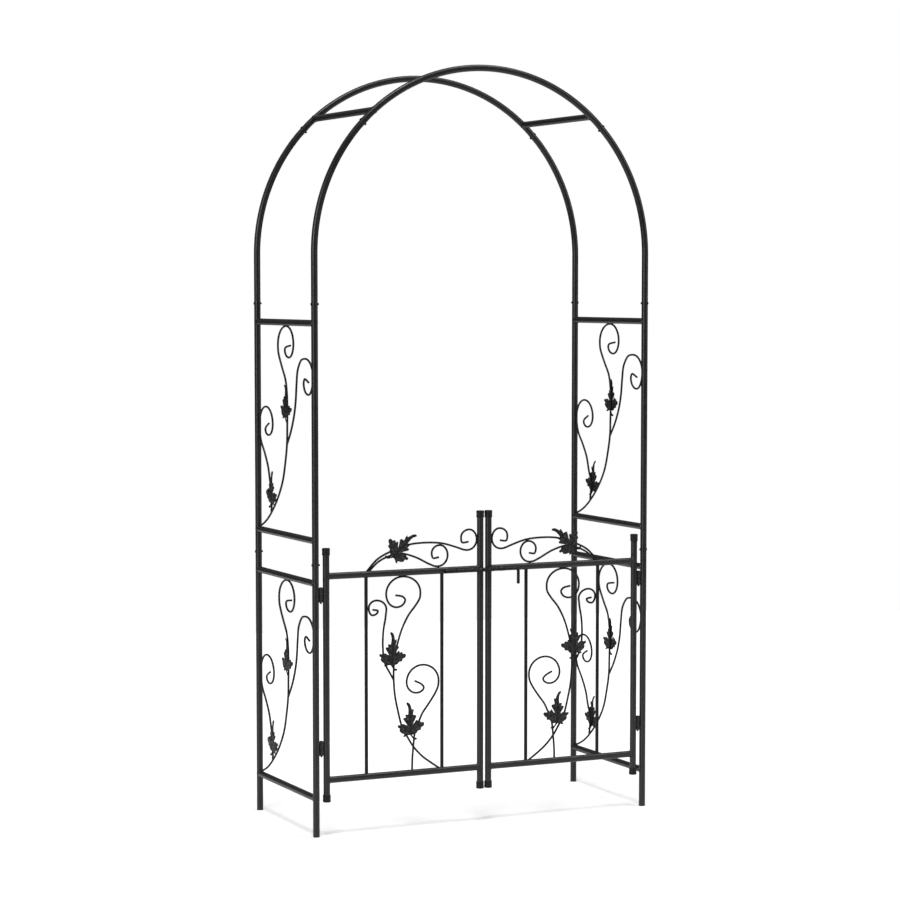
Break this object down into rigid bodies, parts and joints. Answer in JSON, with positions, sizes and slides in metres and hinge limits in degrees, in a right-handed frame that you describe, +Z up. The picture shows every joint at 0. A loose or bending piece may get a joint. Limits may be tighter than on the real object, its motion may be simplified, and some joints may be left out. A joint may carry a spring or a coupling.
{
  "type": "garden arch with gate",
  "caption": "Round-topped garden arch of steel tube and scrolled wire, with two gate leaves on hinges at the front and a sliding bolt.",
  "frame": {"origin": "middle of the footprint on the ground, with the sliding bolt's guides counted as the front", "axes": "+Z up, X across the opening with the bolt's leaf on +X, -Y towards the gate's face"},
  "size_m": [1.0846, 0.4684, 2.1926],
  "materials": {
    "coated_tube": "satin black powder coat",
    "coated_wire": "satin black powder coat",
    "hinge_steel": "satin black coat, rubbed where it turns",
    "cap_plastic": "moulded black, fine satin"
  },
  "bodies": {
    "root": {"left_front_lower_post": "coated_tube", "left_front_upper_post": "coated_tube", "left_front_arch_side": "coated_tube", "left_rear_lower_post": "coated_tube", "left_rear_upper_post": "coated_tube", "left_rear_arch_side": "coated_tube", "right_front_lower_post": "coated_tube", "right_front_upper_post": "coated_tube", "right_front_arch_side": "coated_tube", "right_rear_lower_post": "coated_tube", "right_rear_upper_post": "coated_tube", "right_rear_arch_side": "coated_tube", "front_arch_crown": "coated_tube", "rear_arch_crown": "coated_tube", "left_foot_crossbar": "coated_tube", "left_waist_crossbar": "coated_tube", "left_sill_crossbar": "coated_tube", "left_shoulder_crossbar": "coated_tube", "left_crown_crossbar": "coated_tube", "right_foot_crossbar": "coated_tube", "right_waist_crossbar": "coated_tube", "right_sill_crossbar": "coated_tube", "right_shoulder_crossbar": "coated_tube", "right_crown_crossbar": "coated_tube", "left_lower_side_scroll": "coated_wire", "left_upper_side_scroll": "coated_wire", "right_lower_side_scroll": "coated_wire", "right_upper_side_scroll": "coated_wire", "left_upper_hinge_pin": "hinge_steel", "left_lower_hinge_pin": "hinge_steel", "right_upper_hinge_pin": "hinge_steel", "right_lower_hinge_pin": "hinge_steel"},
    "left_leaf": {"left_hinge_stile": "coated_tube", "left_meeting_stile": "coated_tube", "left_bottom_rail": "coated_tube", "left_top_rail": "coated_tube", "left_outer_baluster": "coated_tube", "left_inner_baluster": "coated_tube", "left_gate_scroll": "coated_wire", "left_crest_scroll": "coated_wire", "left_hinge_stile_bottom_cap": "cap_plastic", "left_hinge_stile_top_cap": "cap_plastic", "left_meeting_stile_bottom_cap": "cap_plastic", "left_meeting_stile_top_cap": "cap_plastic", "bolt_keeper": "hinge_steel"},
    "right_leaf": {"right_hinge_stile": "coated_tube", "right_meeting_stile": "coated_tube", "right_bottom_rail": "coated_tube", "right_top_rail": "coated_tube", "right_outer_baluster": "coated_tube", "right_inner_baluster": "coated_tube", "right_gate_scroll": "coated_wire", "right_crest_scroll": "coated_wire", "right_hinge_stile_bottom_cap": "cap_plastic", "right_hinge_stile_top_cap": "cap_plastic", "right_meeting_stile_bottom_cap": "cap_plastic", "right_meeting_stile_top_cap": "cap_plastic", "inner_bolt_guide": "hinge_steel", "outer_bolt_guide": "hinge_steel"},
    "bolt": {"sliding_bolt": "hinge_steel"}
  },
  "joints": [
    {"name": "left_leaf_swing", "type": "hinge", "parent": "root", "child": "left_leaf", "pos_m": [-0.51435, -0.21235, 0.472], "axis": [0, 0, 1], "range_deg": [-90, 70]},
    {"name": "right_leaf_swing", "type": "hinge", "parent": "root", "child": "right_leaf", "pos_m": [0.51435, -0.21235, 0.472], "axis": [0, 0, 1], "range_deg": [-70, 90]},
    {"name": "bolt_slide", "type": "slide", "parent": "right_leaf", "child": "bolt", "axis": [1, 0, 0], "range_m": [-0.035, 0]}
  ]
}
